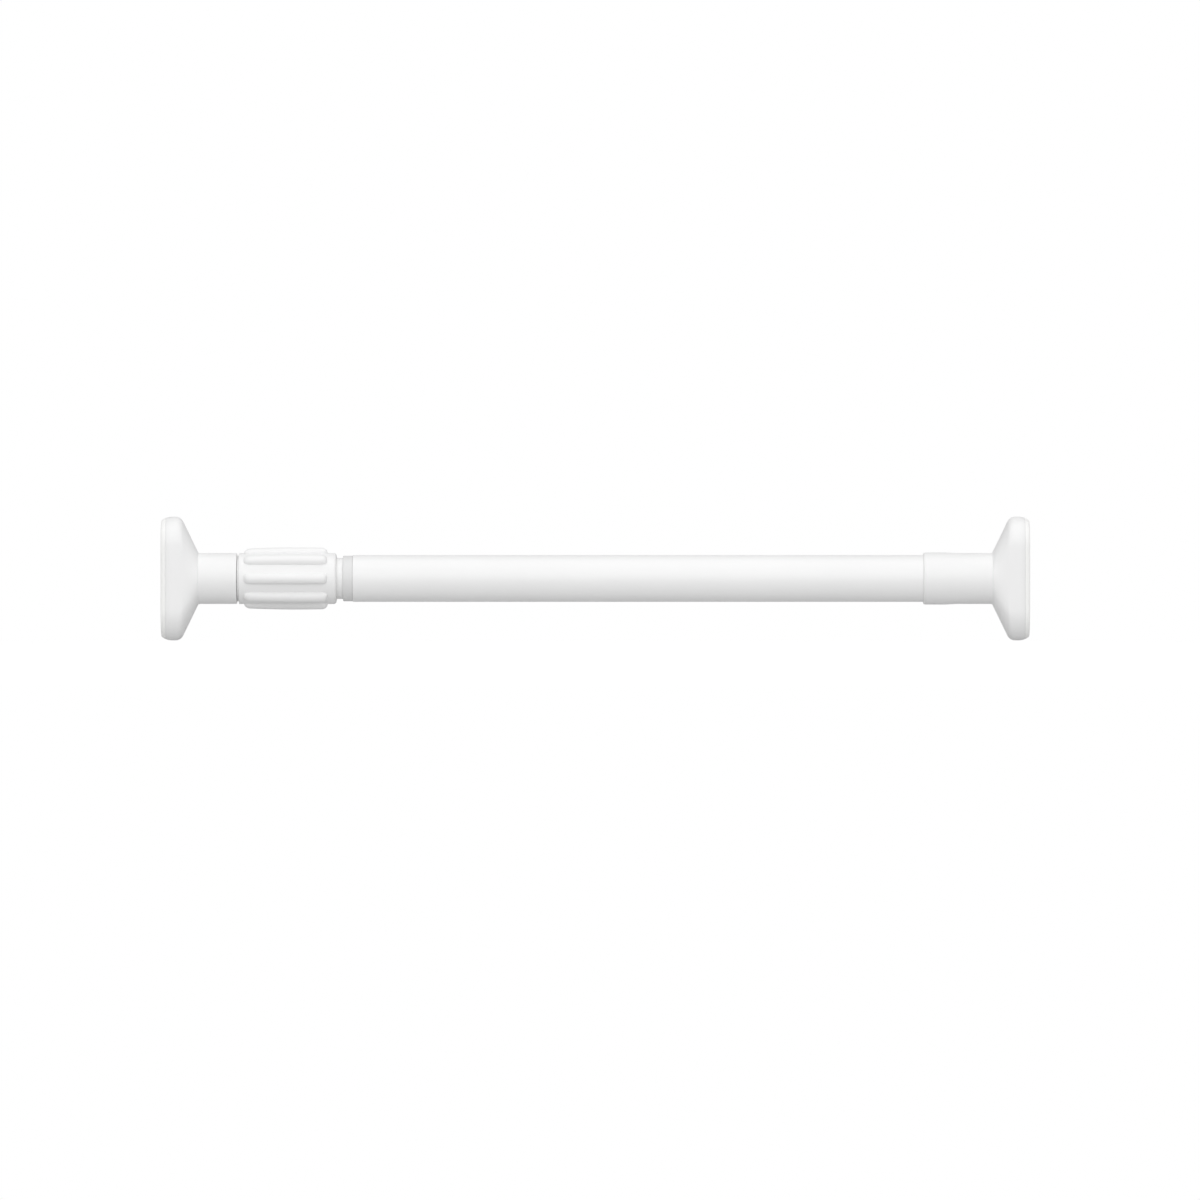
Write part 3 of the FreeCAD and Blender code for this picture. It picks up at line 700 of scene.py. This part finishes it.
def make_lock_stud(finish):
    """The lock's stud, threaded from where it leaves the plug."""
    start, end = span("lock_stud")
    thread_start = span("lock_plug")[1]
    grid = screw_grid(start, thread_start, end, reach("lock_stud"), stud_thread_depth, stud_pitch)
    return add_piece("lock_stud_screw", [grid], "inner_tube", ["lock_stud"], finish)


def make_foot_screw(node, way, body, finish):
    """A pan head whose edge is an arc, with a six-sided recess in it and a threaded shank behind."""
    start, end = span(node)
    face = start if way > 0 else end
    length = end - start
    theta = angles(SCREW_AROUND)
    edge = np.linspace(0, QUARTER, ROUND_STEPS)
    socket = hexagon(screw_socket_half, theta)
    head_r = reach(node) - screw_head_edge * (1 - np.sin(edge))
    row_step = screw_pitch / screw_thread_rows
    thread = np.arange(screw_head_height + foot_web, length - screw_pitch, row_step)
    depth = np.concatenate([
        [screw_socket_depth, screw_socket_depth, 0], screw_head_edge * (1 - np.cos(edge)),
        [screw_head_height, screw_head_height, thread[0]], thread, [length, length],
    ])
    plain = np.ones(len(theta))
    radius = np.concatenate([
        [0 * plain, socket, socket], head_r[:, None] * plain,
        [reach(node) * plain, screw_r * plain, screw_r * plain],
        thread_radius(thread, way * theta, screw_r, screw_thread_depth, screw_pitch),
        [(screw_r - screw_thread_depth) * plain, 0 * plain],
    ])
    grid = swept(face + way * depth, radius, theta), False
    return add_piece(node + "_skin", [grid], body, [node], finish)


def make_spring(finish):
    """The wire's circle carried round and along a helix, and flattened where its ends are ground."""
    start, end = span("jack_spring")
    radius = reach("jack_spring") - spring_wire_r
    t = np.linspace(0, 1, spring_turns * spring_rows + 1)
    turn = 2 * np.pi * spring_turns * t
    swing = angles(wire_columns)
    inset = spring_wire_r - spring_grind
    middle = start + inset + t * (end - start - 2 * inset)
    r = radius + spring_wire_r * np.cos(swing)[None, :]
    x = np.clip(middle[:, None] + spring_wire_r * np.sin(swing)[None, :], start, end)
    grid = np.stack([x, r * np.cos(turn)[:, None], r * np.sin(turn)[:, None]], axis=-1)
    tip = np.repeat(grid[:1].mean(axis=1, keepdims=True), wire_columns, axis=1)
    tail = np.repeat(grid[-1:].mean(axis=1, keepdims=True), wire_columns, axis=1)
    grid = np.concatenate([tip, grid, tail]), False
    wire = add_piece("jack_spring_wire", [grid], "inner_tube", ["jack_spring"], finish)
    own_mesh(wire)
    return wire


class Value:
    """A shader socket that takes part in plain arithmetic."""

    def __init__(self, paint, socket):
        self.paint = paint
        self.socket = socket

    def maths(self, operation, first, second):
        """A maths node of two sockets or numbers."""
        return self.paint.node("ShaderNodeMath", {"operation": operation}, {0: first, 1: second})

    def __add__(self, other):
        return self.maths("ADD", self, other)

    __radd__ = __add__

    def __mul__(self, other):
        return self.maths("MULTIPLY", self, other)

    __rmul__ = __mul__

    def __sub__(self, other):
        return self.maths("SUBTRACT", self, other)

    def __rsub__(self, other):
        return self.maths("SUBTRACT", other, self)


class Paint:
    """The nodes of one finish or of the world."""

    def __init__(self, tree):
        self.tree = tree
        self.tree.nodes.clear()

    def node(self, kind, settings=None, inputs=None, output=0):
        """Any node: its settings first, then the values or links of its sockets."""
        made = self.tree.nodes.new(kind)
        for name, value in (settings or {}).items():
            setattr(made, name, value)
        for name, value in (inputs or {}).items():
            if isinstance(value, Value):
                self.tree.links.new(value.socket, made.inputs[name])
            else:
                made.inputs[name].default_value = value
        return Value(self, made.outputs[output]) if len(made.outputs) else None

    def noise(self, scale, detail, roughness=0.5):
        """Noise over the piece's own points."""
        place = self.node("ShaderNodeTexCoord", output="Object")
        inputs = {"Vector": place, "Scale": scale, "Detail": detail, "Roughness": roughness}
        return self.node("ShaderNodeTexNoise", {}, inputs)

    def mixed(self, share, low, high):
        """A colour between two colours."""
        inputs = {"Factor": share, 6: (*low, 1), 7: (*high, 1)}
        return self.node("ShaderNodeMix", {"data_type": "RGBA"}, inputs, output=2)


def finish_of(name, low, high, roughness, swing, grain, grain_scale, constants=None):
    """Two close colours in soft clouds, uneven roughness and a fine grain that lifts the surface."""
    material = bpy.data.materials.new(name)
    material.use_nodes = True
    paint = Paint(material.node_tree)
    cloud = paint.noise(cloud_scale, cloud_detail)
    fine = paint.noise(grain_scale, grain_detail, grain_roughness)
    bump = paint.node("ShaderNodeBump", {}, {"Height": fine, "Strength": grain, "Distance": grain_height})
    inputs = {
        "Base Color": paint.mixed(cloud, low, high),
        "Roughness": roughness + swing * (cloud - noise_mean) + grain_share * swing * (fine - noise_mean),
        "Normal": bump,
    }
    inputs.update(constants or {})
    shader = paint.node("ShaderNodeBsdfPrincipled", {}, inputs)
    paint.node("ShaderNodeOutputMaterial", {}, {"Surface": shader})
    return material


def grey(level):
    """A colour without a tint."""
    return (level, level, level)


def make_finishes():
    """Every finish by name: two colours, roughness and its swing, then the grain's strength and scale."""
    metal = {"Metallic": 1.0}
    rows = [
        ("white_tube", grey(0.84), grey(0.87), 0.34, 0.06, 0.25, 420),
        ("white_moulding", grey(0.83), grey(0.86), 0.42, 0.08, 0.35, 900),
        ("soft_pad", (0.93, 0.93, 0.92), (0.96, 0.96, 0.95), 0.62, 0.08, 0.5, 1500),
        ("grey_bush", grey(0.70), grey(0.74), 0.40, 0.08, 0.3, 1100),
        ("inner_plastic", (0.70, 0.70, 0.67), (0.75, 0.75, 0.72), 0.38, 0.08, 0.3, 800),
        ("zinc_steel", grey(0.55), (0.62, 0.63, 0.65), 0.30, 0.14, 0.35, 700, metal),
        ("spring_steel", grey(0.38), grey(0.46), 0.32, 0.12, 0.4, 900, metal),
        ("nut_brass", (0.62, 0.46, 0.20), (0.72, 0.55, 0.26), 0.30, 0.12, 0.35, 700, metal),
    ]
    return {row[0]: finish_of(*row) for row in rows}


def dress_nodes(finishes):
    """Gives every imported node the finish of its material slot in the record."""
    slots = {row["node"]: row["material_slot"] for row in frame["record"]["subparts"]}
    for name, node in frame["nodes"].items():
        node.data.materials.clear()
        node.data.materials.append(finishes[slots[name]])


def make_tubes(finishes):
    """The two tubes, and the grey ring whose spigot sits in the thick tube's mouth."""
    white = finishes["white_tube"]
    outer = tube_rings(*span("outer_tube"), outer_r, outer_bore_r)
    add_piece("outer_tube_skin", [outer], "outer_tube", ["outer_tube"], white)
    inner = tube_rings(*span("inner_tube"), inner_r, inner_bore_r)
    add_piece("inner_tube_skin", [inner], "inner_tube", ["inner_tube"], white)
    bore = inner_r + running_gap
    spigot_r = outer_bore_r - press_gap
    ring_back = ring_end - face_gap
    ring = turned([
        (ring_start, ring_r, ring_front_r), (ring_back, ring_r, ring_back_r),
        (ring_back, spigot_r, spigot_root_r), (spigot_end, spigot_r, spigot_edge_r),
        (spigot_end, bore, spigot_bore_edge), (ring_start, bore, ring_bore_edge),
    ])
    bush = finishes["grey_bush"]
    add_piece("tube_end_ring", [ring], "outer_tube", ["tube_end_bush"], bush)


def make_rod():
    """All finishes, then every piece of the rod."""
    finishes = make_finishes()
    dress_nodes(finishes)
    moulding = finishes["white_moulding"]
    soft = finishes["soft_pad"]
    zinc = finishes["zinc_steel"]
    make_tubes(finishes)
    make_left_foot(moulding)
    make_right_foot(moulding)
    make_pad("left_foot_pad", left_seam, 1, "left_foot", soft)
    make_pad("right_foot_pad", right_seam, -1, "outer_tube", soft)
    make_grip(moulding)
    make_spindle(zinc)
    make_spring(finishes["spring_steel"])
    make_lock_stud(zinc)
    make_foot_screw("left_foot_screw", 1, "left_foot", zinc)
    make_foot_screw("right_foot_screw", -1, "outer_tube", zinc)


def seen_share(paint):
    """One for what the camera sees, and nought for what lights the scene and shows in reflections."""
    return paint.node("ShaderNodeLightPath", output="Is Camera Ray")


def make_floor():
    """A pale round floor a little under the feet, which keeps the rod's shadow and fades into the backdrop.

    Its points go out from the middle in rings. Where it is seen, half of its light is its own."""
    ring = np.linspace(0, floor_radius, floor_rings)[:, None]
    turn = angles(floor_columns)
    low = cad_box[0].z - floor_drop
    grid = np.stack(np.broadcast_arrays(ring * np.cos(turn), ring * np.sin(turn), low), axis=-1)
    floor = bpy.data.objects.new("floor", grid_mesh("floor", [(grid, False)]))
    bpy.context.scene.collection.objects.link(floor)
    material = bpy.data.materials.new("floor")
    material.use_nodes = True
    paint = Paint(material.node_tree)
    place = paint.node("ShaderNodeTexCoord", output="Object")
    far = paint.node("ShaderNodeVectorMath", {"operation": "LENGTH"}, {0: place}, output="Value")
    limits = {"Value": far, 1: floor_fade_start, 2: floor_radius}
    fade = paint.node("ShaderNodeMapRange", {"interpolation_type": "SMOOTHSTEP"}, limits)
    real = paint.node("ShaderNodeBsdfDiffuse", {}, {"Color": (*grey(floor_level), 1)})
    own = paint.node("ShaderNodeEmission", {}, {"Strength": floor_own_light})
    own_share = seen_share(paint) * floor_own_share
    near = paint.node("ShaderNodeMixShader", {}, {0: own_share, 1: real, 2: own})
    clear = paint.node("ShaderNodeBsdfTransparent")
    shader = paint.node("ShaderNodeMixShader", {}, {0: fade, 1: near, 2: clear})
    paint.node("ShaderNodeOutputMaterial", {}, {"Surface": shader})
    floor.data.materials.append(material)


def make_world():
    """Soft even light all round, which is white where it is seen."""
    world = bpy.data.worlds.new("studio")
    bpy.context.scene.world = world
    world.use_nodes = True
    paint = Paint(world.node_tree)
    white = (*grey(1), 1)
    real = paint.node("ShaderNodeBackground", {}, {"Color": white, "Strength": world_light})
    seen = paint.node("ShaderNodeBackground", {}, {"Color": white, "Strength": world_seen})
    shader = paint.node("ShaderNodeMixShader", {}, {0: seen_share(paint), 1: real, 2: seen})
    paint.node("ShaderNodeOutputWorld", {}, {"Surface": shader})


def make_lamp(name, height_deg, watts):
    """A large soft box before the rod, that high above the level, which faces the rod's middle."""
    light = bpy.data.lights.new(name, "AREA")
    light.shape = "RECTANGLE"
    light.size = lamp_width
    light.size_y = lamp_height
    light.energy = watts
    lamp = bpy.data.objects.new(name, light)
    bpy.context.scene.collection.objects.link(lamp)
    rise = math.radians(height_deg)
    lamp.location = (0, -lamp_distance * math.cos(rise), lamp_distance * math.sin(rise))
    lamp.rotation_euler = (math.pi / 2 - rise, 0, 0)


def make_camera():
    """A long lens, level with a point a little under the rod."""
    camera = bpy.data.cameras.new("camera")
    camera.sensor_width = sensor_width
    camera.lens = sensor_width * camera_distance / frame_width
    camera.clip_end = camera_sight
    seen = bpy.data.objects.new("camera", camera)
    bpy.context.scene.collection.objects.link(seen)
    seen.location = (camera_x, -camera_distance, camera_z)
    seen.rotation_euler = (math.pi / 2, 0, 0)
    bpy.context.scene.camera = seen


make_rod()
make_floor()
make_world()
make_lamp("front_box", front_lamp_deg, front_lamp_watts)
make_lamp("top_box", top_lamp_deg, top_lamp_watts)
make_camera()
bpy.context.scene.view_settings.view_transform = "Standard"
